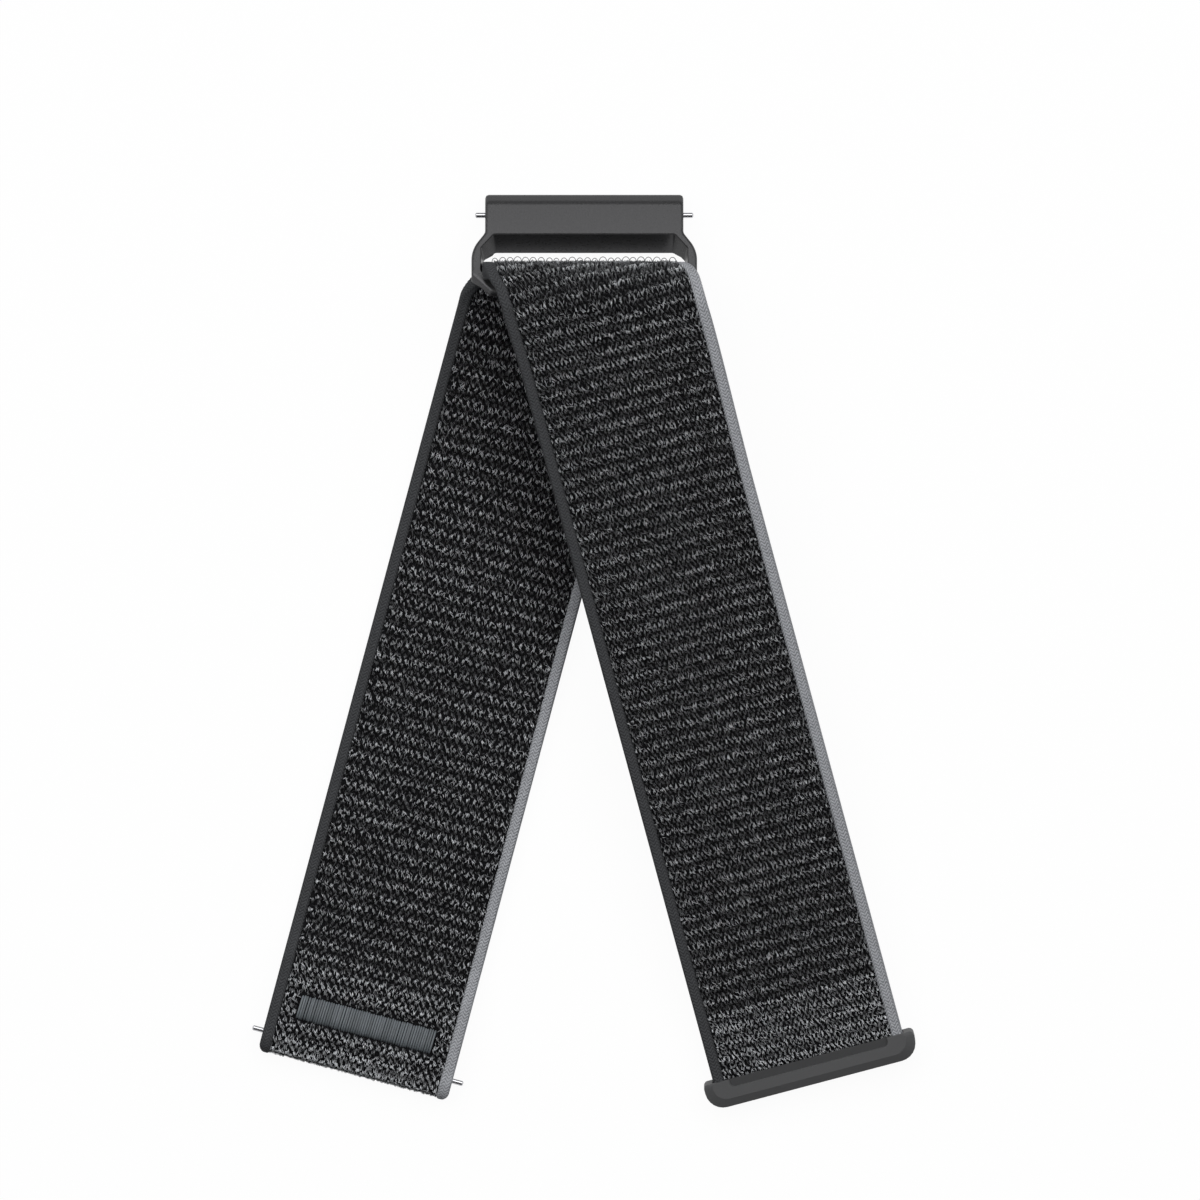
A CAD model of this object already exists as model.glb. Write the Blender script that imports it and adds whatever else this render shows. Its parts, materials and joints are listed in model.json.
"""Looks of the nylon watch strap, lying folded through its buckle on a white table.

The strap is followed as it is put together: the band is woven, its pile is raised, its
edges are bound in, its end is turned back and tacked, the hook tape and the cap go on,
and the buckle and the two spring bars close it. Metres, +Z up from the table.
"""

import json
import math

import bmesh
import bpy
import numpy as np
from mathutils import Matrix, Vector


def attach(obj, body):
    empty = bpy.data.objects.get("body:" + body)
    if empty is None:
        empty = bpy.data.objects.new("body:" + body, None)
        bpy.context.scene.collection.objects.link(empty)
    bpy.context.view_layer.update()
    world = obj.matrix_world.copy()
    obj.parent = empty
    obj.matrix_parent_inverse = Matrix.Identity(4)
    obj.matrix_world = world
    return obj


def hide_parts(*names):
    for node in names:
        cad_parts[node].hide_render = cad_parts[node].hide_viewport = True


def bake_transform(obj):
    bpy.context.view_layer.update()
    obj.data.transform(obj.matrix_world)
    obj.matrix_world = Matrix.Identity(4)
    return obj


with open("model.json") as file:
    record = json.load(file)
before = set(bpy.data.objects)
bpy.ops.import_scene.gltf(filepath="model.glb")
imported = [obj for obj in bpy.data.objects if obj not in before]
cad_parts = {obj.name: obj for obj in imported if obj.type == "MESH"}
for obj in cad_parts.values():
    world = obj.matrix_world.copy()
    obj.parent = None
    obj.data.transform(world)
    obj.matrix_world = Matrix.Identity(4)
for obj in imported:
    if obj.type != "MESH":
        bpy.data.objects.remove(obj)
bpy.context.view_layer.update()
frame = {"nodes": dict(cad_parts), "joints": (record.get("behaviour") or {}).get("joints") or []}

MM = 0.001
nodes = frame["nodes"]
joint_places = {joint["name"]: joint.get("pos_m") for joint in frame["joints"]}


# Photographic table. A wide white sheet lies under one large soft light overhead, with
# plain grey light all round it, and the camera looks straight down through a long lens.

VIEW_CENTRE = (1.796 * MM, 5.712 * MM)
VIEW_WIDTH = 131.87 * MM
VIEW_LEVEL = 8.0 * MM
CAMERA_HEIGHT = 4.0
SENSOR_WIDTH = 36.0
TABLE_HALF = 40.0
SOFTBOX_WIDTH = 3.0
SOFTBOX_DEPTH = 2.3
SOFTBOX_PLACE = (0.0, 1.05, 1.5)
SOFTBOX_LIGHT = 2.3
ROOM_LIGHT = (0.06, 0.0605, 0.062, 1.0)
SWEEP_WHITE = (0.95, 0.95, 0.95, 1.0)
SWEEP_RISE = 0.12
SWEEP_FADE = 0.03
TABLE_WHITE = (0.42, 0.42, 0.42, 1.0)
TABLE_GLOW = 0.88
TABLE_SHINE = 1.08


class Shade:
    """One socket of a material or a world, so that its maths reads as plain arithmetic."""

    def __init__(self, tree, socket=None):
        self.tree = tree
        self.socket = socket

    def add(self, kind, settings, sockets, output=0):
        """Adds a node: its settings first, then the value or the link of each socket."""
        node = self.tree.nodes.new(kind)
        for name, value in settings.items():
            setattr(node, name, value)
        for name, value in sockets.items():
            if isinstance(value, Shade):
                self.tree.links.new(value.socket, node.inputs[name])
            else:
                node.inputs[name].default_value = value
        return Shade(self.tree, node.outputs[output])

    def maths(self, operation, *values):
        return self.add("ShaderNodeMath", {"operation": operation}, dict(enumerate(values)))

    def __add__(self, other):
        return self.maths("ADD", self, other)

    __radd__ = __add__

    def __sub__(self, other):
        return self.maths("SUBTRACT", self, other)

    def __rsub__(self, other):
        return self.maths("SUBTRACT", other, self)

    def __mul__(self, other):
        return self.maths("MULTIPLY", self, other)

    __rmul__ = __mul__

    def clipped(self):
        """This value, kept from 0 to 1."""
        return self.add("ShaderNodeClamp", {}, {"Value": self})

    def between(self, low, high):
        """A number between two, by this value."""
        return self * (high - low) + low

    def tint(self, low, high):
        """A colour between two, by this value. A Mix node's sockets go by number, because
        its names repeat."""
        return self.add("ShaderNodeMix", {"data_type": "RGBA"}, {0: self, 6: low, 7: high}, 2)


def blank(name):
    """A new material and the Shade that adds to it, with its output socket's node."""
    material = bpy.data.materials.new(name)
    material.use_nodes = True
    material.node_tree.nodes.clear()
    tree = material.node_tree
    return material, Shade(tree), tree.nodes.new("ShaderNodeOutputMaterial")


def finished(name, sockets):
    """A Principled material, from a function that gives its sockets' values or links."""
    material, make, output = blank(name)
    shader = make.add("ShaderNodeBsdfPrincipled", {}, sockets(make))
    make.tree.links.new(shader.socket, output.inputs["Surface"])
    return material


def seen_directly(make):
    """1 on the rays that show a thing itself, to the camera, in gloss or through glass."""
    rays = make.add("ShaderNodeLightPath", {}, {})
    outputs = rays.socket.node.outputs
    seen = Shade(make.tree, outputs["Is Camera Ray"]) + Shade(make.tree, outputs["Is Glossy Ray"])
    return (seen + Shade(make.tree, outputs["Is Transmission Ray"])).clipped()


def lay_table():
    half = TABLE_HALF
    mesh = bpy.data.meshes.new("table")
    corners = [(-half, -half, 0), (half, -half, 0), (half, half, 0), (-half, half, 0)]
    mesh.from_pydata(corners, [], [(0, 1, 2, 3)])
    table = bpy.data.objects.new("table", mesh)
    bpy.context.scene.collection.objects.link(table)
    material, make, output = blank("white_table")
    matte = make.add("ShaderNodeBsdfDiffuse", {}, {"Color": TABLE_WHITE})
    glow = make.add("ShaderNodeEmission", {}, {"Color": (1.0, 1.0, 1.0, 1.0), "Strength": TABLE_SHINE})
    mixed = make.add("ShaderNodeMixShader", {}, {0: seen_directly(make) * TABLE_GLOW, 1: matte, 2: glow})
    make.tree.links.new(mixed.socket, output.inputs["Surface"])
    mesh.materials.append(material)


def light_table():
    world = bpy.data.worlds.new("room")
    world.use_nodes = True
    make = Shade(world.node_tree)
    direction = make.add("ShaderNodeTexCoord", {}, {})
    height = make.add("ShaderNodeSeparateXYZ", {}, {"Vector": direction}, 2)
    low = ((SWEEP_RISE - height) * (1 / SWEEP_FADE)).clipped()
    colour = (seen_directly(make) * low).tint(ROOM_LIGHT, SWEEP_WHITE)
    make.tree.links.new(colour.socket, world.node_tree.nodes["Background"].inputs["Color"])
    bpy.context.scene.world = world
    softbox = bpy.data.lights.new("softbox", "AREA")
    softbox.shape = "RECTANGLE"
    softbox.size = SOFTBOX_WIDTH
    softbox.size_y = SOFTBOX_DEPTH
    softbox.energy = SOFTBOX_LIGHT * math.pi * SOFTBOX_WIDTH * SOFTBOX_DEPTH
    lamp = bpy.data.objects.new("softbox", softbox)
    lamp.location = SOFTBOX_PLACE
    lamp.visible_camera = False
    bpy.context.scene.collection.objects.link(lamp)


def set_camera():
    lens = bpy.data.cameras.new("camera")
    lens.sensor_width = SENSOR_WIDTH
    lens.lens = SENSOR_WIDTH * CAMERA_HEIGHT / VIEW_WIDTH
    lens.clip_end = TABLE_HALF
    camera = bpy.data.objects.new("camera", lens)
    camera.location = (*VIEW_CENTRE, CAMERA_HEIGHT + VIEW_LEVEL)
    bpy.context.scene.collection.objects.link(camera)
    bpy.context.scene.camera = camera
    bpy.context.scene.view_settings.view_transform = "Standard"


lay_table()
light_table()
set_camera()


# The band. One strip of nylon is woven with a ground of fine yarn and raised ribs across
# it, and lies slantwise through the buckle: from its turned-back lug end along the table,
# up the wall in the slot, over the upper bend and down to the cap.

BAND_WIDTH = 21.5 * MM
BAND_THICKNESS = 2.0 * MM
EDGE_WIDTH = 1.15 * MM
CORE_HALF = BAND_WIDTH / 2 - EDGE_WIDTH
BAND_ANGLE = math.radians(15.0)
LUG_LEG_LENGTH = 87.7 * MM
FREE_LEG_LENGTH = 88.9 * MM
FOLD_RADIUS = 3.8 * MM
FOLD_WALL = 6.8 * MM
FOLD_SHIFT = -0.4 * MM
DRAW_PLACES = np.array([-8.0, -4.1, -3.0, 0.0, 1.4, 3.9, 6.4, 8.6, 10.2, 18.0]) * MM
DARK_EDGE_DRAW = np.array([0.0, 1.45, 1.2, 0.4, 0.05, -0.8, -1.0, -0.42, -0.2, 0.0]) * MM
TUCK_PLACES = np.array([1.4, 3.2, 7.2, 10.5]) * MM
DARK_EDGE_TUCK = np.array([0.0, 0.8, 0.75, 0.0]) * MM
LIGHT_DRAW_PLACES = np.array([-6.0, 0.0, 3.0, 7.0, 12.0, 30.0]) * MM
LIGHT_EDGE_DRAW = np.array([0.0, 0.3, 0.5, -0.15, -0.25, 0.0]) * MM
CAP_WIDTH = 23.85 * MM
CAP_THICKNESS = 3.4 * MM
CAP_COVERS = 1.5 * MM

END_THICKNESS = 3.3 * MM
FLAP_LENGTH = 10.5 * MM
RAMP_LENGTH = 5.0 * MM
LUG_BAR_INSET = 2.3 * MM
TUNNEL_RADIUS = 0.85 * MM
TUNNEL_TAPER = 2.0 * MM
SEAM_HALF = 0.03 * MM
NOSE_FULLNESS = 0.8
FLAP_ROWS = 40
NOSE_ROWS = 40
RAMP_ROWS = 24
FAR_AWAY = 1.0

RIB_PITCH = 1.62 * MM
RIB_HEIGHT = 0.16 * MM
STITCH_HEIGHT = 0.07 * MM
GROUND_DEPTH = 0.17 * MM
OUTER_COLUMN = 0.51 * MM
INNER_COLUMN = 0.80 * MM
SUB_ROW = RIB_PITCH / 3

UPPER_CENTRE = BAND_THICKNESS / 2 + FOLD_RADIUS + FOLD_WALL
LEG_REACH = FREE_LEG_LENGTH * math.cos(BAND_ANGLE) + CAP_WIDTH / 2 * math.sin(BAND_ANGLE)
LEG_RISE = CAP_THICKNESS / 2 - FOLD_RADIUS
LEG_SLOPE = math.asin(UPPER_CENTRE / math.hypot(LEG_REACH, LEG_RISE)) - math.atan2(LEG_RISE, LEG_REACH)
PATH_WALL = FOLD_RADIUS * math.pi / 2
PATH_FOLD = PATH_WALL + FOLD_WALL
PATH_LEG = PATH_FOLD + FOLD_RADIUS * (math.pi / 2 + LEG_SLOPE)
PATH_BAR = PATH_WALL + joint_places["buckle_swing"][2] - BAND_THICKNESS / 2 - FOLD_RADIUS
LEG_START = PATH_LEG / math.cos(BAND_ANGLE)


def profile(path):
    """Height line of the band's middle layer, square to the fold: y, z and heading."""
    half = BAND_THICKNESS / 2
    lower = np.clip(path, 0, PATH_WALL) / FOLD_RADIUS
    upper = np.clip(path - PATH_FOLD, 0, PATH_LEG - PATH_FOLD) / FOLD_RADIUS
    climb = np.clip(path - PATH_WALL, 0, FOLD_WALL)
    run = np.maximum(path - PATH_LEG, 0)
    heading = lower + upper
    y = np.minimum(path, 0) + FOLD_RADIUS * (np.sin(lower) + np.cos(upper) - 1) + run * np.cos(heading)
    z = half + FOLD_RADIUS * (1 - np.cos(lower) + np.sin(upper)) + climb + run * np.sin(heading)
    return y, z, heading


def glide(share):
    """A share from 0 to 1 that starts and stops gently."""
    return share * share * (3 - 2 * share)


def eased(place, places, values):
    """A value that glides between the values at given places."""
    last = len(places) - 2
    step = np.clip(np.searchsorted(places, place, side="right") - 1, 0, last)
    share = np.clip((place - places[step]) / (places[step + 1] - places[step]), 0, 1)
    return values[step] + (values[step + 1] - values[step]) * glide(share)


def drawn_in(path, across):
    """How far the slot presses the band in at a place along it and across it."""
    dark = eased(path - PATH_BAR, DRAW_PLACES, DARK_EDGE_DRAW)
    light = eased(path - PATH_BAR, LIGHT_DRAW_PLACES, LIGHT_EDGE_DRAW)
    return -np.where(across < 0, dark, light) * across / (BAND_WIDTH / 2)


def lay(path, across, out):
    """Points of the band by path over the fold, place across it and distance outwards."""
    y, z, heading = profile(path)
    run = (path - PATH_BAR) * math.tan(BAND_ANGLE)
    tuck = eased(path - PATH_BAR, TUCK_PLACES, DARK_EDGE_TUCK) * (0.5 - out / BAND_THICKNESS)
    tuck = tuck * np.maximum(-across, 0) / (BAND_WIDTH / 2)
    x = FOLD_SHIFT + run + across / math.cos(BAND_ANGLE) + drawn_in(path, across) + tuck
    return np.stack([x, y + out * np.sin(heading), z - out * np.cos(heading)], -1)


PATH_HINGE = (PATH_FOLD + PATH_LEG) / 2
ROOT = np.array(joint_places["free_leg_fold"]) - lay(np.array(PATH_HINGE), np.array(0.0), np.array(0.0))


def seam_half(inset):
    """Half the gap between the two layers of the lug end, which opens into the tunnel."""
    return SEAM_HALF + TUNNEL_RADIUS * glide(np.clip(1 - (inset - LUG_BAR_INSET) / TUNNEL_TAPER, 0, 1))


def turned_back():
    """The strip round its lug end, as a table: how far along the strip each row is, and
    where its showing face and its hidden face lie, by distance from the end and height."""
    nose = END_THICKNESS / 2
    rows = []
    for share in np.linspace(0, 1, FLAP_ROWS):
        inset = FLAP_LENGTH + (LUG_BAR_INSET - FLAP_LENGTH) * share
        rows.append((inset, 0.0, inset, nose - seam_half(inset)))
    for turn in np.linspace(0, math.pi, NOSE_ROWS + 1)[1:-1]:
        reach = LUG_BAR_INSET * math.sin(turn) ** NOSE_FULLNESS
        tunnel = LUG_BAR_INSET - TUNNEL_RADIUS * math.sin(turn)
        round_bar = nose - TUNNEL_RADIUS * math.cos(turn)
        rows.append((LUG_BAR_INSET - reach, nose - nose * math.cos(turn), tunnel, round_bar))
    for share in np.linspace(0, 1, FLAP_ROWS):
        inset = LUG_BAR_INSET + (FLAP_LENGTH - LUG_BAR_INSET) * share
        rows.append((inset, END_THICKNESS, inset, nose + seam_half(inset)))
    for share in np.linspace(0, 1, RAMP_ROWS + 1)[1:]:
        inset = FLAP_LENGTH + RAMP_LENGTH * share
        top = END_THICKNESS + (BAND_THICKNESS - END_THICKNESS) * glide(share)
        rows.append((inset, top, inset, (nose + SEAM_HALF) * (1 - glide(share))))
    rows = np.array(rows)
    steps = np.hypot(np.diff(rows[:, 0]), np.diff(rows[:, 1]))
    along = np.concatenate([[0], np.cumsum(steps)])
    along += FLAP_LENGTH + RAMP_LENGTH - LUG_LEG_LENGTH - along[-1]
    far = FAR_AWAY + LUG_LEG_LENGTH
    return np.append(along, FAR_AWAY), np.vstack([rows, [far, BAND_THICKNESS, far, 0.0]])


END_ALONG, END_ROWS = turned_back()
FLAP_END = END_ALONG[0]


def faces_at(along):
    """Where both faces of the strip lie at a place along it: distance from the end and
    height of the inner face, and then of the outer one."""
    return (np.interp(along, END_ALONG, column) for column in END_ROWS.T)


def on_end(inset, across, height):
    """World points by distance from the lug end, place across the band and height."""
    path = (inset - LUG_LEG_LENGTH) * math.cos(BAND_ANGLE) - across * math.sin(BAND_ANGLE)
    return lay(path, across, BAND_THICKNESS / 2 - height) + ROOT


def on_band(along, across, share):
    """World points of the strip: how far along it, across it, and from its inner face at
    -1, which shows on the lug leg, to its outer face at 1, which shows on the free leg."""
    inner_inset, inner_height, outer_inset, outer_height = faces_at(along)
    inset = inner_inset + (outer_inset - inner_inset) * (share + 1) / 2
    height = inner_height + (outer_height - inner_height) * (share + 1) / 2
    return on_end(inset, across, height)


def thickness_at(along):
    """How far apart the faces of the strip are."""
    inner_inset, inner_height, outer_inset, outer_height = faces_at(along)
    return np.hypot(inner_inset - outer_inset, inner_height - outer_height)


def crease(path, across):
    """How far along the strip a fold line lies, at a place across it."""
    return (path + across * math.sin(BAND_ANGLE)) / math.cos(BAND_ANGLE)


# Places in the bake map. The skin of a piece fills most of it, and the two small faces that
# close its ends lie beside the skin.
MAP_WALL = (0.96, 0.98)
MAP_DISC = 0.01
MAP_DISC_PLACES = ((0.98, 0.3), (0.98, 0.6))


def build_mesh(name, points, corners, counts, material, spots=None, **values):
    """An object from arrays: points, the corners of its faces and each face's count of
    corners, with places in the bake map for each corner and a value for each point."""
    mesh = bpy.data.meshes.new(name)
    starts = np.concatenate([[0], np.cumsum(counts)[:-1]]).astype(np.int32)
    first = corners[starts]
    following = corners[starts + 1], corners[starts + 2]
    a, b, c = points[first], points[following[0]], points[following[1]]
    if np.einsum("ij,ij->i", a - points[0], np.cross(b - points[0], c - points[0])).sum() < 0:
        face = np.repeat(np.arange(len(counts)), counts)
        order = 2 * starts[face] + counts[face] - 1 - np.arange(len(corners))
        corners = corners[order]
        spots = None if spots is None else spots[order]
    mesh.vertices.add(len(points))
    mesh.vertices.foreach_set("co", points.astype(np.float32).ravel())
    mesh.loops.add(len(corners))
    mesh.loops.foreach_set("vertex_index", corners.astype(np.int32))
    mesh.polygons.add(len(counts))
    mesh.polygons.foreach_set("loop_start", starts)
    mesh.update(calc_edges=True)
    if spots is not None:
        layer = mesh.uv_layers.new(name="OFBake")
        layer.data.foreach_set("uv", spots.astype(np.float32).ravel())
    for label, value in values.items():
        mesh.attributes.new(label, "FLOAT", "POINT").data.foreach_set("value", value.astype(np.float32))
    mesh.shade_smooth()
    mesh.materials.append(material)
    thing = bpy.data.objects.new(name, mesh)
    bpy.context.scene.collection.objects.link(thing)
    return thing


def swept(name, rings, material, **values):
    """A closed skin over rings of points, rings x points x 3, capped at both ends."""
    count, around = rings.shape[:2]
    ring = np.arange(count - 1)[:, None] * around
    here = np.arange(around)[None, :]
    after = (here + 1) % around
    quads = np.stack([ring + here, ring + after, ring + around + after, ring + around + here], -1)
    corners = [quads.ravel(), np.arange(around)[::-1], (count - 1) * around + np.arange(around)]
    counts = np.concatenate([np.full(quads.size // 4, 4), [around, around]])
    u = np.stack([here, here + 1, here + 1, here], -1) / around * MAP_WALL[0] + 0 * ring[..., None]
    v = np.stack([ring, ring, ring + around, ring + around], -1) / (around * (count - 1)) * MAP_WALL[1]
    wall = np.stack([u, v + 0 * here[..., None]], -1).reshape(-1, 2)
    turn = np.arange(around) * 2 * math.pi / around
    disc = MAP_DISC * np.stack([np.cos(turn), np.sin(turn)], -1)
    spots = np.concatenate([wall, disc[::-1] + MAP_DISC_PLACES[0], disc + MAP_DISC_PLACES[1]])
    return build_mesh(name, rings.reshape(-1, 3), np.concatenate(corners), counts, material, spots, **values)


def stretches():
    """The three parts of the strip, which follow the bodies that the fold joins: name, and
    where each starts and ends along the strip, by place across it."""
    last = LEG_START + FREE_LEG_LENGTH - CAP_COVERS
    return (
        ("lug_leg", lambda across: FLAP_END + 0 * across, lambda across: crease(PATH_FOLD, across)),
        ("fold", lambda across: crease(PATH_FOLD, across), lambda across: crease(PATH_LEG, across)),
        ("free_leg", lambda across: crease(PATH_LEG, across), lambda across: last + 0 * across),
    )


def follow(piece, part):
    """Lets a piece of the band move as its part of the strip does."""
    if part == "fold":
        start = ROOT + lay(np.array(PATH_FOLD), np.array(0.0), np.array(0.0))
        stop = ROOT + lay(np.array(PATH_LEG), np.array(0.0), np.array(0.0))
        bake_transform(piece)
    else:
        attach(piece, part)


GROUND_POINTS = 98
GROUND_ROW = 0.24 * MM
FEWEST_ROWS = 8
GROUND_GRAIN = 5200.0
GROUND_CLOUD = 900.0
GROUND_CONTRAST = 1.4
GROUND_DARK = (0.002, 0.002, 0.0023, 1.0)
GROUND_LIGHT = (0.018, 0.0184, 0.02, 1.0)


def ribs(along, across, column):
    """Relief of the woven ground: ribs across the strip, and a stitch in each column."""
    rib = np.cos(2 * math.pi * along / RIB_PITCH)
    shift = np.floor(across / column) % 2 * SUB_ROW / 2
    stitch = np.cos(2 * math.pi * (along + shift) / SUB_ROW) * np.cos(2 * math.pi * across / column)
    return RIB_HEIGHT / 2 * (rib - 1) + STITCH_HEIGHT / 2 * (stitch - 1)


def weave_ground(part, begin, finish, material):
    """The ground of one part of the strip, closed round both faces."""
    inner = np.linspace(-CORE_HALF, CORE_HALF, GROUND_POINTS)
    across = np.concatenate([inner, inner[::-1]])
    face = np.repeat([-1.0, 1.0], GROUND_POINTS)
    length = float(np.mean(finish(inner) - begin(inner)))
    rows = max(int(length / GROUND_ROW), FEWEST_ROWS)
    share = np.linspace(0, 1, rows + 1)[:, None]
    start, stop = begin(across)[None, :], finish(across)[None, :]
    along = start + (stop - start) * share
    spread = np.broadcast_to(across, along.shape)
    column = np.where(face < 0, INNER_COLUMN, OUTER_COLUMN)
    sink = ribs(along, spread, column[None, :]) - GROUND_DEPTH
    lift = 2 * sink / thickness_at(along)
    rings = on_band(along, spread, face[None, :] * (1 + lift))
    return swept(f"{part}_ground", rings, material)


def fine_noise(make, scale, detail=2.0):
    """Noise that stays with the strap, as many swells to the metre as the scale says."""
    place = make.add("ShaderNodeTexCoord", {}, {}, 3)
    sockets = {"Vector": place, "Scale": scale, "Detail": detail, "Roughness": 0.6}
    return make.add("ShaderNodeTexNoise", {}, sockets)


def bumped(make, height, strength, depth):
    return make.add("ShaderNodeBump", {}, {"Height": height, "Strength": strength, "Distance": depth})


def ground_sockets(make):
    grain = fine_noise(make, GROUND_GRAIN)
    return {
        "Base Color": (grain * grain * GROUND_CONTRAST).clipped().tint(GROUND_DARK, GROUND_LIGHT),
        "Roughness": fine_noise(make, GROUND_CLOUD).between(0.75, 0.95),
        "Specular IOR Level": 0.03,
        "Normal": bumped(make, grain, 0.6, 0.05 * MM),
    }


ground_yarn = finished("ground_yarn", ground_sockets)
woven = {}
for part, begin, finish in stretches():
    ground = weave_ground(part, begin, finish, ground_yarn)
    woven[part] = [ground]
    follow(ground, part)
    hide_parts(f"{part}_band")


# Loop pile. Short loops of fine nylon stand in rows on both faces of the ground, dark and
# light filaments spun together, with a lighter row on each rib and beside each edge.

PILE_RADIUS = 0.036 * MM
PILE_HALF_LENGTH = 0.19 * MM
PILE_RISE = 0.4 * MM
PILE_FOOT = 0.06 * MM
PILE_MARGIN = 0.12 * MM
PILE_LEAN = math.radians(15.0)
PILE_ROUNDNESS = 2.2
PILE_WAIST = (1.1, 0.35)
PILE_POINTS = 5
PILE_SIDES = 3
PILE_LOT = 7000
LOOPS_TO_A_STITCH = {-1: 10, 1: 7}
HIDDEN_SHARE = 3
PLACE_SPREAD = 0.17
ROW_SPREAD = 0.25
LEAN_SPREAD = 0.5
LENGTH_SPREAD = (0.7, 1.25)
RISE_SPREAD = (0.75, 1.15)
RADIUS_SPREAD = (0.75, 1.25)
NOSE_RISE = 0.45
TABLE_CLEARANCE = 1.3

# Tones run from the dark yarn at 0 to the light yarn at 1.
PILE_FLECK = 2600.0
PILE_SEED = 40
PILE_DARK = (0.006, 0.0061, 0.0066, 1.0)
PILE_LIGHT = (0.86, 0.88, 0.91, 1.0)
FACE_TONES = {-1: (0.18, 1.58), 1: (0.25, 1.12)}
LIGHT_YARN_POWER = 1.3
RIB_TONE = (0.45, 0.95)
COLUMN_TONE = (0.85, 0.3)
BLOTCHES = (4000, 64)
BLOTCH_COLUMNS = 3
BLOTCH_SPREAD = (0.7, 1.3)
BESIDE_EDGE = 0.4 * MM
BESIDE_TONE = 0.06
BRIGHT_PAST_FLAP = 0.2 * MM
BRIGHT_BEFORE_END = 10.2 * MM
END_TONE = (2.0, 0.06)
CREST_REACH = 1.2 * MM
CREST_TONE = 0.5

# No loop stands under the hook tape, nor where the bar tack is sewn.
PATCH_WIDTH = 18.6 * MM
PATCH_LENGTH = 24.0 * MM
PATCH_TO_END = 3.8 * MM
TACK_WIDTH = 15.4 * MM
TACK_LENGTH = 2.8 * MM
TACK_INSET = 4.5 * MM
TACK_CLEAR = 0.15 * MM

# Places in the bake map again. Each loop has a cell there, for its skin and its two tips.
CELL_START = 0.15
CELL_SIZE = 0.8
TIP_PLACE = 0.06
TIP_SIZE = 0.05
TIP_SHIFTS = (0.0, 0.5)


def unit(vectors):
    return vectors / np.maximum(np.linalg.norm(vectors, axis=-1, keepdims=True), 1e-12)


def strands(name, lines, outward, radius, material, sides=PILE_SIDES, **values):
    """Closed fibres along lines of points, strands x points x 3, as one object."""
    count, points = lines.shape[:2]
    tangent = unit(np.gradient(lines, axis=1))
    side = unit(np.cross(tangent, outward))
    lift = np.cross(side, tangent)
    turn = np.arange(sides) * 2 * math.pi / sides + math.pi / 2
    wide = np.broadcast_to(radius, (count, points))[..., None, None]
    ring = np.cos(turn)[:, None] * side[:, :, None, :] + np.sin(turn)[:, None] * lift[:, :, None, :]
    skin = lines[:, :, None, :] + wide * ring
    base = np.arange(count)[:, None, None] * points * sides
    step = np.arange(points - 1)[None, :, None] * sides
    here = np.arange(sides)[None, None, :]
    after = (here + 1) % sides
    near, far = base + step, base + step + sides
    quads = np.stack([near + here, near + after, far + after, far + here], -1)
    first = np.arange(count)[:, None] * points * sides + np.arange(sides)[::-1]
    last = np.arange(count)[:, None] * points * sides + (points - 1) * sides + np.arange(sides)
    corners = np.concatenate([quads.ravel(), first.ravel(), last.ravel()])
    counts = np.concatenate([np.full(quads.size // 4, 4), np.full(2 * count, sides)])
    grid = math.ceil(math.sqrt(count))
    cell = np.stack([np.arange(count) % grid, np.arange(count) // grid], -1) / grid
    u = np.stack([here, here + 1, here + 1, here], -1) / sides + 0 * step[..., None]
    v = np.stack([step, step, step + sides, step + sides], -1) / (sides * (points - 1)) + 0 * here[..., None]
    wall = cell[:, None, None, None, :] + (CELL_START + CELL_SIZE * np.stack([u, v], -1)) / grid
    disc = (TIP_PLACE + TIP_SIZE * np.stack([np.cos(turn), np.sin(turn)], -1)) / grid
    ends = [cell[:, None, :] + disc[::-1] + [0, shift / grid] for shift in TIP_SHIFTS]
    spots = np.concatenate([wall.reshape(-1, 2), ends[0].reshape(-1, 2), ends[1].reshape(-1, 2)])
    values = {label: np.repeat(value, points * sides) for label, value in values.items()}
    return build_mesh(name, skin.reshape(-1, 3), corners, counts, material, spots, **values)


def pile_places(begin, finish, column, per_cell, draw):
    """Where each loop of a stretch stands, along it and across it, and its row."""
    whole = np.linspace(-CORE_HALF, CORE_HALF, GROUND_POINTS)
    rows = np.arange(int(begin(whole).min() / SUB_ROW) - 1, int(finish(whole).max() / SUB_ROW) + 1)
    half = int(CORE_HALF / column) + 1
    cells = np.meshgrid(rows, np.arange(-half, half), indexing="ij")
    row, place = (np.repeat(cell.ravel(), per_cell) for cell in cells)
    across = (place + 0.5 + (row % 2) * 0.5) * column
    across = across + draw.normal(0, PLACE_SPREAD, len(row)) * column
    along = (row + draw.normal(0, ROW_SPREAD, len(row))) * SUB_ROW
    kept = (np.abs(across) < CORE_HALF - PILE_MARGIN) & (along > begin(across)) & (along < finish(across))
    return along[kept], across[kept], row[kept]


def sewn_over(part, along, across):
    """Where the hook tape or the bar tack covers the inner face."""
    if part == "free_leg":
        end = LEG_START + FREE_LEG_LENGTH - PATCH_TO_END
        return (along > end - PATCH_LENGTH) & (along < end) & (np.abs(across) < PATCH_WIDTH / 2)
    from_tack = np.interp(along, END_ALONG, END_ROWS[:, 0]) - TACK_INSET - TACK_LENGTH / 2
    beside = np.abs(across) < TACK_WIDTH / 2 + TACK_CLEAR
    return beside & (np.abs(from_tack) < TACK_LENGTH / 2 + TACK_CLEAR) & (part == "lug_leg")


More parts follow.
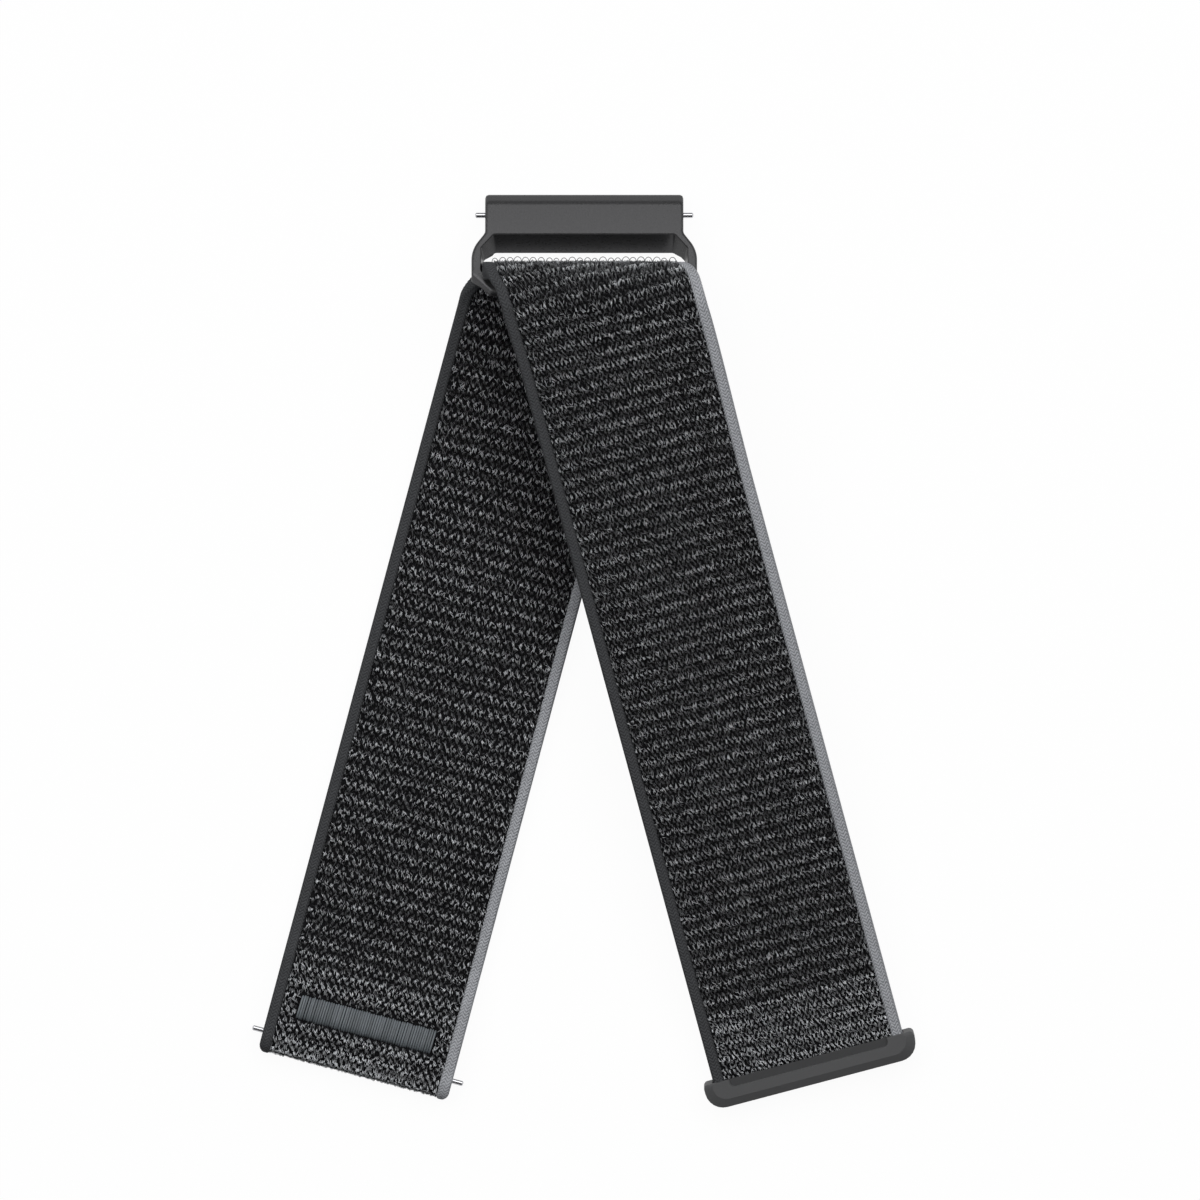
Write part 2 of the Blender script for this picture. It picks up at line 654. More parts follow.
def pile_tone(face, column, along, across, row, draw):
    """How light each loop is. Light yarn shows in blotches on the ribs, beside the edges
    and at both ends of the band, and less in the hollows and over the crest."""
    table_row = row + BLOTCHES[0] // 2
    table_column = (across / column / BLOTCH_COLUMNS + BLOTCHES[1] // 2).astype(int)
    blotch = draw.uniform(*BLOTCH_SPREAD, BLOTCHES)[table_row, table_column]
    blotch = blotch * (COLUMN_TONE[0] + COLUMN_TONE[1] * np.cos(2 * math.pi * across / column) ** 2)
    on_rib = np.clip(RIB_TONE[0] + RIB_TONE[1] * np.cos(2 * math.pi * along / RIB_PITCH), 0, 1)
    hollow, bright = FACE_TONES[face]
    light = draw.random(len(along)) ** LIGHT_YARN_POWER
    tone = light * (hollow + (blotch - hollow) * on_rib) * bright
    tone = tone + np.where(np.abs(across) > CORE_HALF - BESIDE_EDGE, BESIDE_TONE, 0.0)
    to_lug = along < END_ALONG[-2] - RAMP_LENGTH + BRIGHT_PAST_FLAP
    to_cap = along > LEG_START + FREE_LEG_LENGTH - BRIGHT_BEFORE_END
    tone = np.where(to_lug | to_cap, tone * END_TONE[0] + END_TONE[1], tone)
    on_crest = np.abs(along - crease(PATH_FOLD, across)) < CREST_REACH
    return np.clip(tone * np.where(on_crest, CREST_TONE, 1.0), 0, 1)


def raise_pile(part, begin, finish, face, column, per_cell, seed, material):
    """The loops of one face of one part, in lots of a few thousand."""
    draw = np.random.default_rng(seed)
    along, across, row = pile_places(begin, finish, column, per_cell, draw)
    if face < 0:
        kept = ~sewn_over(part, along, across)
        along, across, row = along[kept], across[kept], row[kept]
    count = len(along)
    tone = pile_tone(face, column, along, across, row, draw)
    length = PILE_HALF_LENGTH * draw.uniform(*LENGTH_SPREAD, count)
    inset = np.interp(along, END_ALONG, END_ROWS[:, 0])
    rise = PILE_RISE * draw.uniform(*RISE_SPREAD, count) * np.clip(inset / MM, NOSE_RISE, 1.0)
    lean = face * PILE_LEAN + draw.normal(0, LEAN_SPREAD, count)
    t = np.linspace(-1, 1, PILE_POINTS)[None, :]
    run = along[:, None] + length[:, None] * (t * np.cos(lean)[:, None])
    wide = across[:, None] + length[:, None] * (t * np.sin(lean)[:, None])
    foot = ribs(along, across, column) - GROUND_DEPTH - PILE_FOOT
    height = foot[:, None] + rise[:, None] * (1 - np.abs(t) ** PILE_ROUNDNESS)
    share = face * (1 + 2 * height / thickness_at(run))
    lines = on_band(run, wide, share)
    lines[..., 2] = np.maximum(lines[..., 2], TABLE_CLEARANCE * PILE_RADIUS)
    outward = unit(on_band(along, across, face * 1.5) - on_band(along, across, face * 0.5))
    radius = PILE_RADIUS * draw.uniform(*RADIUS_SPREAD, count)[:, None]
    radius = radius * (PILE_WAIST[0] - PILE_WAIST[1] * np.abs(t))
    side_name = "inner" if face < 0 else "outer"
    for lot, start in enumerate(range(0, count, PILE_LOT)):
        some = slice(start, start + PILE_LOT)
        piece = strands(
            f"{part}_{side_name}_pile_{lot + 1}",
            lines[some],
            outward[some][:, None, :],
            radius[some],
            material,
            tone=tone[some],
        )
        woven[part].append(piece)
        follow(piece, part)


def pile_sockets(make):
    tone = make.add("ShaderNodeAttribute", {"attribute_name": "tone"}, {}, 2)
    fleck = fine_noise(make, PILE_FLECK)
    return {
        "Base Color": (tone * fleck.between(0.6, 1.4)).clipped().tint(PILE_DARK, PILE_LIGHT),
        "Roughness": fleck.between(0.5, 0.7),
        "Specular IOR Level": 0.12,
    }


pile_yarn = finished("pile_yarn", pile_sockets)
SHOWING = {"lug_leg": -1, "fold": 1, "free_leg": 1}
for number, (part, begin, finish) in enumerate(stretches()):
    for face, column in ((-1, INNER_COLUMN), (1, OUTER_COLUMN)):
        per_cell = LOOPS_TO_A_STITCH[face] // (1 if face == SHOWING[part] else HIDDEN_SHARE)
        seed = PILE_SEED + 2 * number + face
        raise_pile(part, begin, finish, face, column, per_cell, seed, pile_yarn)


# Woven edges. A flat twill of finer yarn binds each side of the pile, dark grey on one
# side and light grey on the other, and runs on round the turned-back end.

EDGE_HALF_THICKNESS = 0.97 * MM
EDGE_SQUARENESS = 0.45
EDGE_TUCK = 0.1 * MM
TWILL_COLUMN = 0.34 * MM
TWILL_PITCH = 0.38 * MM
TWILL_HEIGHT = 0.08 * MM
TWILL_MIDDLE = 0.6
TWILL_ROUNDNESS = 1.2
NOSE_CORNER = 0.5 * MM
EDGE_STEP = 0.053 * MM
EDGE_ROW = 0.055 * MM
DARK_EDGE = (0.047, 0.0485, 0.0515, 1.0)
LIGHT_EDGE = (0.3, 0.308, 0.326, 1.0)
TWILL_GRAIN = 4200.0
YARN_DIM = 0.35
YARN_BRIGHT = 1.5


def edge_section():
    """The outline across a woven edge, by place across and height, and how far round it
    each point is."""
    middle = (BAND_WIDTH / 2 + CORE_HALF - EDGE_TUCK) / 2
    half = (BAND_WIDTH / 2 - CORE_HALF + EDGE_TUCK) / 2
    turn = np.linspace(0, 2 * math.pi, 401)
    across = middle + half * np.sign(np.cos(turn)) * np.abs(np.cos(turn)) ** EDGE_SQUARENESS
    height = EDGE_HALF_THICKNESS * np.sign(np.sin(turn)) * np.abs(np.sin(turn)) ** EDGE_SQUARENESS
    round_it = np.append(0, np.cumsum(np.hypot(np.diff(across), np.diff(height))))
    spaced = np.arange(0, round_it[-1], EDGE_STEP)
    return np.interp(spaced, round_it, across), np.interp(spaced, round_it, height), spaced


def twill(along, round_it):
    """Swell of the yarns, which lie aslant and turn back in each column of the twill."""
    column = round_it / TWILL_COLUMN
    zigzag = np.abs(column / 2 - np.round(column / 2)) * 2
    return np.abs(np.sin(math.pi * (along / TWILL_PITCH + zigzag))) ** TWILL_ROUNDNESS


def weave_edge(part, begin, finish, side, name, material):
    """One edge of one part of the strip, with its yarns in relief all round it."""
    across, height, round_it = edge_section()
    out_across = np.roll(height, -1) - np.roll(height, 1)
    out_height = np.roll(across, 1) - np.roll(across, -1)
    out = unit(np.stack([out_across, out_height], -1))
    start, stop = begin(side * across)[None, :], finish(side * across)[None, :]
    rows = max(int(float(np.mean(stop - start)) / EDGE_ROW), FEWEST_ROWS)
    along = start + (stop - start) * np.linspace(0, 1, rows + 1)[:, None]
    yarn = twill(along, round_it[None, :])
    swell = TWILL_HEIGHT * (yarn - TWILL_MIDDLE)
    wide = side * (across + out[:, 0] * swell)
    thick = thickness_at(along)
    tall = (height + out[:, 1] * swell) * 2 / thick * np.minimum(thick / BAND_THICKNESS, 1)
    nose = np.maximum(NOSE_CORNER - np.interp(along, END_ALONG, END_ROWS[:, 0]), 0)
    pull = NOSE_CORNER - np.sqrt(NOSE_CORNER**2 - nose**2)
    wide = wide - side * pull * np.clip((across - CORE_HALF) / EDGE_WIDTH, 0, 1)
    return swept(f"{part}_{name}", on_band(along, wide, tall), material, yarn=yarn.ravel())


def twill_sockets(colour):
    def sockets(make):
        grain = fine_noise(make, TWILL_GRAIN)
        yarn = make.add("ShaderNodeAttribute", {"attribute_name": "yarn"}, {}, 2)
        dim, bright = ((*(c * share for c in colour[:3]), 1.0) for share in (YARN_DIM, YARN_BRIGHT))
        return {
            "Base Color": (yarn * 0.75 + grain * 0.9 - 0.3).clipped().tint(dim, bright),
            "Roughness": grain.between(0.65, 0.85),
            "Specular IOR Level": 0.15,
            "Normal": bumped(make, grain, 0.5, 0.02 * MM),
        }

    return sockets


edge_finishes = {
    "dark": (-1, finished("dark_twill", twill_sockets(DARK_EDGE))),
    "light": (1, finished("light_twill", twill_sockets(LIGHT_EDGE))),
}
for part, begin, finish in stretches():
    for shade, (side, material) in edge_finishes.items():
        edge = weave_edge(part, begin, finish, side, f"{shade}_selvage", material)
        woven[part].append(edge)
        follow(edge, part)
        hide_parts(f"{part}_{shade}_edge")

# Each leg is one sheet of cloth with its pile and its edges. The short bend goes with the
# free leg.
lug_flat = (2 * CORE_HALF, float(crease(PATH_FOLD, 0.0) - FLAP_END))
free_flat = (2 * CORE_HALF, float(LEG_START + FREE_LEG_LENGTH - CAP_COVERS - crease(PATH_LEG, 0.0)))


# Stray loops at the fold. Where the band turns over, a row of clear filaments that is
# otherwise hidden in the pile stands out of the wall as small round loops.

STRAY_COUNT = 24
STRAY_REACH = 9.75 * MM
STRAY_HALF_WIDTH = 0.4 * MM
STRAY_HEIGHT = 0.52 * MM
STRAY_RADIUS = 0.042 * MM
STRAY_LEVEL = 11.0 * MM
STRAY_FOOT = 0.25
STRAY_POINTS = 13
STRAY_SIDES = 6
STRAY_LEAN = 0.1 * MM
STRAY_PLACE_SPREAD = 0.05 * MM
STRAY_LEVEL_SPREAD = 0.25 * MM
STRAY_TONES = (0.9, 0.25)
STRAY_DARK_PLACE = 0.55
STRAY_CLOUD = 900.0
STRAY_LIGHT = (0.05, 0.048, 0.045, 1.0)
STRAY_DARK = (0.02, 0.02, 0.022, 1.0)


def stand_strays():
    draw = np.random.default_rng(7)
    middle = np.linspace(-STRAY_REACH, STRAY_REACH, STRAY_COUNT)
    middle = middle + draw.normal(0, STRAY_PLACE_SPREAD, STRAY_COUNT)
    turn = np.linspace(-STRAY_FOOT, math.pi + STRAY_FOOT, STRAY_POINTS)[None, :]
    size = draw.uniform(0.75, 1.1, STRAY_COUNT)[:, None]
    x = middle[:, None] + STRAY_HALF_WIDTH * size * np.cos(turn)
    wall = ROOT[1] + FOLD_RADIUS + BAND_THICKNESS / 2
    y = wall + STRAY_HEIGHT * size * np.sin(turn)
    level = STRAY_LEVEL + draw.normal(0, STRAY_LEVEL_SPREAD, STRAY_COUNT)[:, None]
    lines = np.stack([x, y, level + STRAY_LEAN * np.cos(turn)], -1)
    tone = np.where(middle > STRAY_DARK_PLACE * STRAY_REACH, *STRAY_TONES)
    tone = tone * draw.uniform(0.7, 1.1, STRAY_COUNT)
    upward = np.array([0.0, 0.0, 1.0])
    return strands("stray_loops", lines, upward, STRAY_RADIUS, stray_filament, sides=STRAY_SIDES, tone=tone)


def stray_sockets(make):
    tone = make.add("ShaderNodeAttribute", {"attribute_name": "tone"}, {}, 2)
    return {
        "Base Color": tone.tint(STRAY_LIGHT, STRAY_DARK),
        "Roughness": fine_noise(make, STRAY_CLOUD).between(0.2, 0.4),
    }


stray_filament = finished("stray_filament", stray_sockets)
strays = stand_strays()
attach(strays, "lug_leg")


# Bar tack. Satin thread is sewn back and forth through both layers of the lug end, so that
# close stitches lie side by side on its upper and its under face.

TACK_PROUD = 0.25 * MM
TACK_PITCH = 0.27 * MM
TACK_THREAD = 0.17 * MM
TACK_THREAD_WIDTH = 0.68
TACK_DIP = 0.5 * MM
TACK_POINTS = 15
TACK_SIDES = 8
TACK_SAG = 0.06 * MM
TACK_SLANT = 0.05 * MM
TACK_SKIN = 0.02 * MM
TACK_LENGTH_SPREAD = (-0.08 * MM, 0.02 * MM)
TACK_PLACE_SPREAD = 0.015 * MM
TACK_GRAIN = 3600.0
TACK_DIM = (0.07, 0.0785, 0.085, 1.0)
TACK_BRIGHT = (0.218, 0.245, 0.264, 1.0)


def sew_tack():
    draw = np.random.default_rng(11)
    count = round(TACK_WIDTH / TACK_PITCH)
    middle = (np.arange(count) - (count - 1) / 2) * (TACK_WIDTH - 2 * TACK_THREAD) / (count - 1)
    middle = np.tile(middle, 2)
    top = np.repeat([1, -1], count)[:, None]
    t = np.linspace(-1, 1, TACK_POINTS)[None, :]
    half = TACK_LENGTH / 2 + draw.uniform(*TACK_LENGTH_SPREAD, 2 * count)[:, None]
    inset = TACK_INSET + TACK_LENGTH / 2 + half * t
    across = middle[:, None] + draw.normal(0, TACK_PLACE_SPREAD, 2 * count)[:, None] + TACK_SLANT * t
    dip = TACK_DIP * t**4
    low = TACK_THREAD + TACK_SKIN + dip
    high = END_THICKNESS + TACK_PROUD - TACK_THREAD - dip - TACK_SAG * t**2
    lines = on_end(inset, across, np.where(top > 0, high, low))
    tone = draw.uniform(0.25, 0.8, 2 * count)
    radius = TACK_THREAD * TACK_THREAD_WIDTH
    upward = np.array([0.0, 0.0, 1.0])
    return strands("bar_tack_stitches", lines, upward, radius, tack_satin, sides=TACK_SIDES, tone=tone)


def tack_sockets(make):
    tone = make.add("ShaderNodeAttribute", {"attribute_name": "tone"}, {}, 2)
    grain = fine_noise(make, TACK_GRAIN)
    return {
        "Base Color": (tone * 0.6 + grain * 0.5).clipped().tint(TACK_DIM, TACK_BRIGHT),
        "Roughness": grain.between(0.3, 0.55),
        "Normal": bumped(make, grain, 0.4, 0.02 * MM),
    }


tack_satin = finished("tack_satin", tack_sockets)
tack = sew_tack()
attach(tack, "lug_leg")
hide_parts("bar_tack")


# Hook tape. A black nylon tape with rows of fine hooks is sewn flat under the free end,
# and its hooks grip the loops of the leg below.

TAPE_BASE = 0.3 * MM
TAPE_GAP = 0.1 * MM
TAPE_CORNER = 1.5 * MM
TAPE_SINK = 0.15 * MM
TAPE_HEM = 0.8 * MM
HOOK_PITCH = 0.6 * MM
HOOK_RADIUS = 0.05 * MM
HOOK_RISE = 0.28 * MM
HOOK_REACH = HOOK_RADIUS * 2.2
HOOK_CURL = math.pi * 1.15
HOOK_ROOT = 0.1 * MM
HOOK_POINTS = 7
HOOK_SIDES = 5
HOOK_GRAIN = 2400.0
HOOK_BLACK = (0.012, 0.012, 0.013, 1.0)
HOOK_GREY = (0.03, 0.03, 0.032, 1.0)


def under_leg(along, across, depth):
    """World points below the free leg's under face."""
    return on_band(along, across, -1 - 2 * depth / BAND_THICKNESS)


def lay_tape():
    half = PATCH_WIDTH / 2
    middle = LEG_START + FREE_LEG_LENGTH - PATCH_TO_END - PATCH_LENGTH / 2
    turn = np.linspace(0, math.pi / 2, 7)
    outline = []
    for quarter, (x_side, y_side) in enumerate(((1, 1), (-1, 1), (-1, -1), (1, -1))):
        around = turn + quarter * math.pi / 2
        x = x_side * (half - TAPE_CORNER) + TAPE_CORNER * np.cos(around)
        y = y_side * (PATCH_LENGTH / 2 - TAPE_CORNER) + TAPE_CORNER * np.sin(around)
        outline.append(np.stack([x, y], -1))
    across, along = np.concatenate(outline).T
    layers = (
        (TAPE_GAP - TAPE_SINK, 0.1 * MM),
        (TAPE_GAP, 0.0),
        (TAPE_GAP + TAPE_BASE * 0.8, 0.0),
        (TAPE_GAP + TAPE_BASE, 0.08 * MM),
    )
    rings = []
    for depth, drawn in layers:
        share = 1 - drawn / half
        rings.append(under_leg(middle + along * share, across * share, depth))
    return swept("hook_tape", np.array(rings), hook_nylon)


def raise_hooks():
    draw = np.random.default_rng(5)
    stop = LEG_START + FREE_LEG_LENGTH - PATCH_TO_END
    across = np.arange(-PATCH_WIDTH / 2 + TAPE_HEM, PATCH_WIDTH / 2 - TAPE_HEM, HOOK_PITCH)
    along = np.arange(stop - PATCH_LENGTH + TAPE_HEM, stop - TAPE_HEM, HOOK_PITCH)
    across, along = (grid.ravel() for grid in np.meshgrid(across, along))
    facing = np.where(np.round(across / HOOK_PITCH).astype(int) % 2 == 0, 1.0, -1.0)
    turn = np.linspace(0, HOOK_CURL, HOOK_POINTS)[None, :]
    run = facing[:, None] * HOOK_REACH * (1 - np.cos(turn))
    rise = HOOK_RISE - HOOK_REACH - HOOK_RADIUS + HOOK_REACH * np.sin(turn)
    run = np.concatenate([0 * run[:, :1], run], 1)
    rise = np.concatenate([0 * run[:, :1] - HOOK_ROOT, rise + 0 * run[:, :1]], 1)
    turned = draw.normal(0, 0.15, len(across))[:, None]
    lines = under_leg(along[:, None] + run, across[:, None] + run * turned, TAPE_GAP + TAPE_BASE + rise)
    side = under_leg(along, across + MM, 0.0) - under_leg(along, across, 0.0)
    return strands("tape_hooks", lines, unit(side)[:, None, :], HOOK_RADIUS, hook_nylon, sides=HOOK_SIDES)


def hook_sockets(make):
    grain = fine_noise(make, HOOK_GRAIN)
    return {
        "Base Color": grain.tint(HOOK_BLACK, HOOK_GREY),
        "Roughness": grain.between(0.35, 0.55),
        "Normal": bumped(make, grain, 0.3, 0.02 * MM),
    }


hook_nylon = finished("hook_nylon", hook_sockets)
tape = lay_tape()
hooks = raise_hooks()
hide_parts("hook_patch")
for piece in (tape, hooks):
    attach(piece, "free_leg")


# End cap. A matte grey moulding is pressed over the cut end of the band, chamfered in
# front and sunk a little where it meets the pile.

CAP_LENGTH = 3.0 * MM
SINK_LENGTH = 0.93 * MM
SINK_HALF_WIDTH = 9.0 * MM
SINK_CORNER = 0.6 * MM
SINK_BLUR = 0.06 * MM
CAP_GRAIN = 1500.0
CAP_CLOUD = 90.0
CAP_GREY = (0.078, 0.079, 0.081, 1.0)
CAP_WORN = (0.1, 0.1, 0.102, 1.0)
CAP_SUNK = (0.047, 0.0475, 0.049, 1.0)


def in_the_sink(make):
    """1 in the sunk part of the cap, from the places along the cap and across it."""
    end = LEG_START + FREE_LEG_LENGTH - CAP_LENGTH
    front = on_band(np.array(end), np.array(0.0), 1.0)
    along = unit(on_band(np.array(end + MM), np.array(0.0), 1.0) - front)
    across = unit(on_band(np.array(end), np.array(MM), 1.0) - front)
    place = make.add("ShaderNodeTexCoord", {}, {}, 3)
    from_front = make.add("ShaderNodeVectorMath", {"operation": "SUBTRACT"}, {0: place, 1: tuple(front)})
    run, side = (
        make.add("ShaderNodeVectorMath", {"operation": "DOT_PRODUCT"}, {0: from_front, 1: tuple(way)}, 1)
        for way in (along, across)
    )
    past_side = make.maths("MAXIMUM", make.maths("ABSOLUTE", side) - (SINK_HALF_WIDTH - SINK_CORNER), 0.0)
    past_end = make.maths("MAXIMUM", run - (SINK_LENGTH - SINK_CORNER), 0.0)
    reach = make.maths("SQRT", past_side * past_side + past_end * past_end)
    return ((SINK_CORNER - reach) * (1 / SINK_BLUR)).clipped()


def cap_sockets(make):
    grain = fine_noise(make, CAP_GRAIN, 4.0)
    cloud = fine_noise(make, CAP_CLOUD)
    plain = (cloud * 0.5 + grain * 0.3).clipped().tint(CAP_GREY, CAP_WORN)
    return {
        "Base Color": in_the_sink(make).tint(plain, CAP_SUNK),
        "Roughness": grain.between(0.5, 0.65),
        "Specular IOR Level": 0.3,
        "Normal": bumped(make, grain, 0.15, 0.02 * MM),
    }


def refinish(name, material):
    """Gives a solid of the frame its finish."""
    thing = nodes[name]
    thing.data.materials.clear()
    thing.data.materials.append(material)
    thing.data.shade_smooth()
    thing.data.set_sharp_from_angle(angle=math.radians(30.0))


refinish("end_cap", finished("cap_moulding", cap_sockets))


# Buckle. The frame is machined from steel bar: a barrel for the spring bar, a slot with
# slightly drafted walls, tapered arms and a lower bar that the band folds over. Its front
# edges and the barrel's ends are broken, and then it is coated a smooth satin grey.

BUCKLE_TILT = math.radians(26.6)
BARREL_RADIUS = 2.05 * MM
BARREL_HALF = 10.9 * MM
BARREL_TO_BAR = 10.2 * MM
BARREL_STEPS = 20
BUCKLE_HALF = 12.4 * MM
BAR_HEIGHT = 0.9 * MM
BAR_DEPTH = 1.3 * MM
TAPER_START = 0.3 * MM
TAPER_LENGTH = 4.2 * MM
# Corners of the slot's right half, in front and at the back, in millimetres.
SLOT_FRONT = [(9.98, 6.6), (11.36, 4.9), (11.36, 2.15), (9.9, 0.45)]
SLOT_BACK = [(9.78, 6.36), (11.1, 5.39), (11.1, 1.9), (9.7, 0.5)]
SLOT_ROUND = 0.5 * MM
SLOT_LIP = 0.1 * MM
LIP_WAYS = [(0.4, 1.0), (1.0, 0.4), (1.0, -0.4), (0.4, -1.0)]
CORNER_STEPS = 8
SHARP_EDGE = math.radians(40.0)
SHOULDER = 6.95 * MM
SHOULDER_LENGTH = 2.1 * MM
SHOULDER_ROUND = 3.8 * MM
FOOT_CORNER = 2.1 * MM
FOOT_ROUND = 0.6 * MM
BROKEN_EDGE = 0.38 * MM
BACK_OF_BARREL = -3.2 * MM
BORE_RADIUS = 0.97 * MM
BORE_STEPS = 32
OVERRUN = 1.0 * MM
# Opposite corners of the pocket for the release lever, in millimetres.
POCKET_LOW = (3.66, 7.1, -4.6)
POCKET_HIGH = (6.24, 10.0, -1.45)
COATING_GRAIN = 2200.0
COATING_CLOUD = 60.0
COATING = (0.084, 0.084, 0.086, 1.0)
COATING_DIM = (0.078, 0.078, 0.08, 1.0)


def on_buckle(points):
    """World points from places on the buckle: across it, from its lower bar towards its
    barrel, and out of its front face."""
    across, up, out = np.moveaxis(np.asarray(points, float), -1, 0)
    y = up * math.cos(BUCKLE_TILT) + out * math.sin(BUCKLE_TILT)
    z = out * math.cos(BUCKLE_TILT) - up * math.sin(BUCKLE_TILT)
    return np.stack([across, y, z], -1) + np.array(joint_places["buckle_swing"])


def rounded(corners):
    """A closed outline whose left half mirrors its right, from corners (x, y, radius)."""
    corners = corners + [(-x, y, radius) for x, y, radius in reversed(corners)]
    points = []
    for i, (x, y, radius) in enumerate(corners):
        here = Vector((x, y))
        before = (Vector(corners[i - 1][:2]) - here).normalized()
        after = (Vector(corners[(i + 1) % len(corners)][:2]) - here).normalized()
        half = before.angle(after) / 2
        middle = here + (before + after).normalized() * radius / math.sin(half)
        start = here + before * radius / math.tan(half) - middle
        turn = start.angle_signed(here + after * radius / math.tan(half) - middle)
        for step in range(CORNER_STEPS + 1):
            points.append(middle + Matrix.Rotation(-turn * step / CORNER_STEPS, 2) @ start)
    return np.array(points)


def upright(outline, low, high):
    """Two rings of an outline, at two depths of the buckle."""
    return on_buckle([[(x, y, z) for x, y in outline] for z in (low, high)])


def settle(thing):
    """Makes a piece's modifiers part of its mesh."""
    graph = bpy.context.evaluated_depsgraph_get()
    mesh = bpy.data.meshes.new_from_object(thing.evaluated_get(graph))
    thing.modifiers.clear()
    thing.data = mesh


def cut(thing, rings, operation="DIFFERENCE"):
    tool = swept("cutter", rings, coated_frame)
    change = thing.modifiers.new("cut", "BOOLEAN")
    change.operation = operation
    change.solver = "EXACT"
    change.object = tool
    settle(thing)
    bpy.data.objects.remove(tool)


def slot_ring(out):
    """The slot's outline at one depth: drafted towards the back, opened by a lip in front."""
    share = 1 + (out - BAR_DEPTH / 2) / (2 * BARREL_RADIUS)
    lip = max(out - BAR_DEPTH / 2 + SLOT_LIP, 0)
    corners = np.array(SLOT_BACK) * MM * (1 - share) + np.array(SLOT_FRONT) * MM * share
    corners += lip * np.array(LIP_WAYS)
    return upright(rounded([(x, y, SLOT_ROUND) for x, y in corners]), out, out)[:1]


def break_edges(piece):
    """Rounds the rim of the front and the ends of the barrel."""
    rest = [np.array(v.co) - joint_places["buckle_swing"] for v in piece.data.vertices]
    out = [v[1] * math.sin(BUCKLE_TILT) + v[2] * math.cos(BUCKLE_TILT) for v in rest]
    up = [v[1] * math.cos(BUCKLE_TILT) - v[2] * math.sin(BUCKLE_TILT) for v in rest]
    builder = bmesh.new()
    builder.from_mesh(piece.data)
    weight = builder.edges.layers.float.new("bevel_weight_edge")
    for edge in builder.edges:
        if edge.calc_face_angle(0.0) > SHARP_EDGE:
            ends = [v.index for v in edge.verts]
            shows = min(out[i] for i in ends) > BAR_DEPTH / 2 - 0.01 * MM
            low = min(out[i] for i in ends)
            barrel = min(up[i] for i in ends) > BARREL_TO_BAR - 0.01 * MM and low > BACK_OF_BARREL
            edge[weight] = float(shows or barrel)
    builder.to_mesh(piece.data)
    builder.free()
    edges = piece.modifiers.new("broken_edges", "BEVEL")
    edges.width = BROKEN_EDGE
    edges.segments = 2
    edges.limit_method = "WEIGHT"
    edges.use_clamp_overlap = False
    settle(piece)


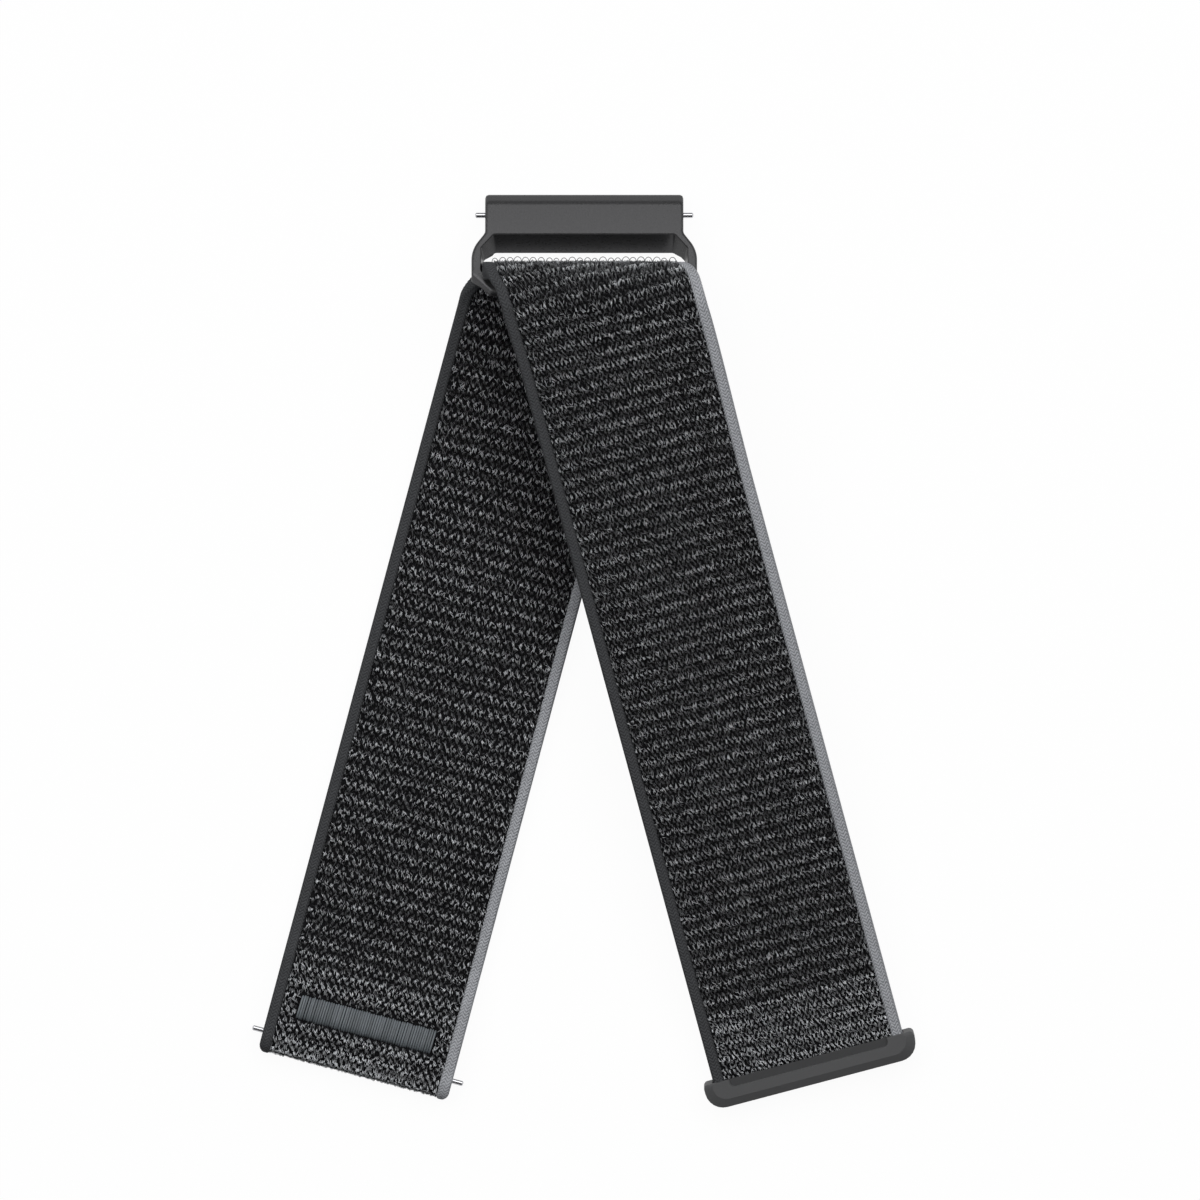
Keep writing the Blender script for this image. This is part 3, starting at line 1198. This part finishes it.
def machine_frame():
    front = BAR_DEPTH / 2
    drop = front - BARREL_RADIUS
    bar = BAR_HEIGHT / 2
    deep = 2 * BARREL_RADIUS + OVERRUN
    wide = BUCKLE_HALF + OVERRUN
    side = [
        (-bar, front),
        (-bar, -front),
        (bar + TAPER_START, -front),
        (bar + TAPER_START + TAPER_LENGTH, drop - BARREL_RADIUS),
    ]
    for turn in np.linspace(-math.pi / 2, math.pi / 2, BARREL_STEPS + 1):
        side.append((BARREL_TO_BAR + BARREL_RADIUS * math.cos(turn), drop + BARREL_RADIUS * math.sin(turn)))
    block = on_buckle([[(x, up, out) for up, out in side] for x in (-wide, wide)])
    piece = swept("machined_buckle", block, coated_frame)
    corners = [
        (BARREL_HALF, BARREL_TO_BAR + BARREL_RADIUS + OVERRUN, BROKEN_EDGE),
        (BARREL_HALF, SHOULDER, SHOULDER_ROUND / 4),
        (BUCKLE_HALF, SHOULDER - SHOULDER_LENGTH, SHOULDER_ROUND),
        (BUCKLE_HALF, FOOT_CORNER - bar, FOOT_ROUND),
        (BUCKLE_HALF - FOOT_CORNER, -bar, FOOT_ROUND),
    ]
    cut(piece, upright(rounded(corners), -deep, deep), "INTERSECT")
    break_edges(piece)
    cut(piece, np.concatenate([slot_ring(out) for out in (front - deep, front - SLOT_LIP, front + OVERRUN)]))
    turn = np.arange(BORE_STEPS) * 2 * math.pi / BORE_STEPS
    up = BARREL_TO_BAR + BORE_RADIUS * np.cos(turn)
    out = drop + BORE_RADIUS * np.sin(turn)
    cut(piece, on_buckle([np.stack([0 * up + x, up, out], -1) for x in (-wide, wide)]))
    (x0, y0, z0), (x1, y1, z1) = np.array([POCKET_LOW, POCKET_HIGH]) * MM
    cut(piece, upright([(x0, y0), (x1, y0), (x1, y1), (x0, y1)], z0, z1))
    piece.data.uv_layers.remove(piece.data.uv_layers[0])
    piece.data.shade_smooth()
    piece.data.set_sharp_from_angle(angle=math.radians(35.0))
    piece.modifiers.new("even_faces", "WEIGHTED_NORMAL").keep_sharp = True
    settle(piece)
    return piece


def coating_sockets(make):
    grain = fine_noise(make, COATING_GRAIN, 3.0)
    cloud = fine_noise(make, COATING_CLOUD)
    return {
        "Base Color": cloud.tint(COATING_DIM, COATING),
        "Metallic": 0.6,
        "Roughness": grain.between(0.24, 0.32),
        "Specular IOR Level": 0.05,
        "Specular Tint": (0.45, 0.45, 0.45, 1.0),
        "Normal": bumped(make, grain, 0.05, 0.01 * MM),
    }


coated_frame = finished("coated_frame", coating_sockets)
buckle = machine_frame()
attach(buckle, "buckle")
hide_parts("buckle_frame")


# Spring bars. Each is a drawn and polished steel tube with a fixed tip, a moving tip with
# its release lever, and a fine coil spring inside.

STEEL_GRAIN = 1800.0
STEEL = (0.62, 0.62, 0.64, 1.0)
STEEL_DIM = (0.5, 0.5, 0.52, 1.0)
WIRE = (0.4, 0.4, 0.42, 1.0)


def steel_sockets(bright, rough):
    def sockets(make):
        grain = fine_noise(make, STEEL_GRAIN, 3.0)
        return {
            "Base Color": grain.tint(STEEL_DIM, bright),
            "Metallic": 1.0,
            "Roughness": grain.between(rough, rough + 0.1),
        }

    return sockets


polished = finished("polished_tips", steel_sockets(STEEL, 0.12))
drawn_wire = finished("drawn_wire", steel_sockets(WIRE, 0.28))
for bar, release in (("buckle_bar", "buckle_release"), ("lug_bar", "lug_release")):
    for name in (f"{bar}_tube", f"{bar}_fixed_tip", f"{bar}_moving_tip", f"{release}_lever"):
        refinish(name, polished)
    refinish(f"{bar}_spring", drawn_wire)
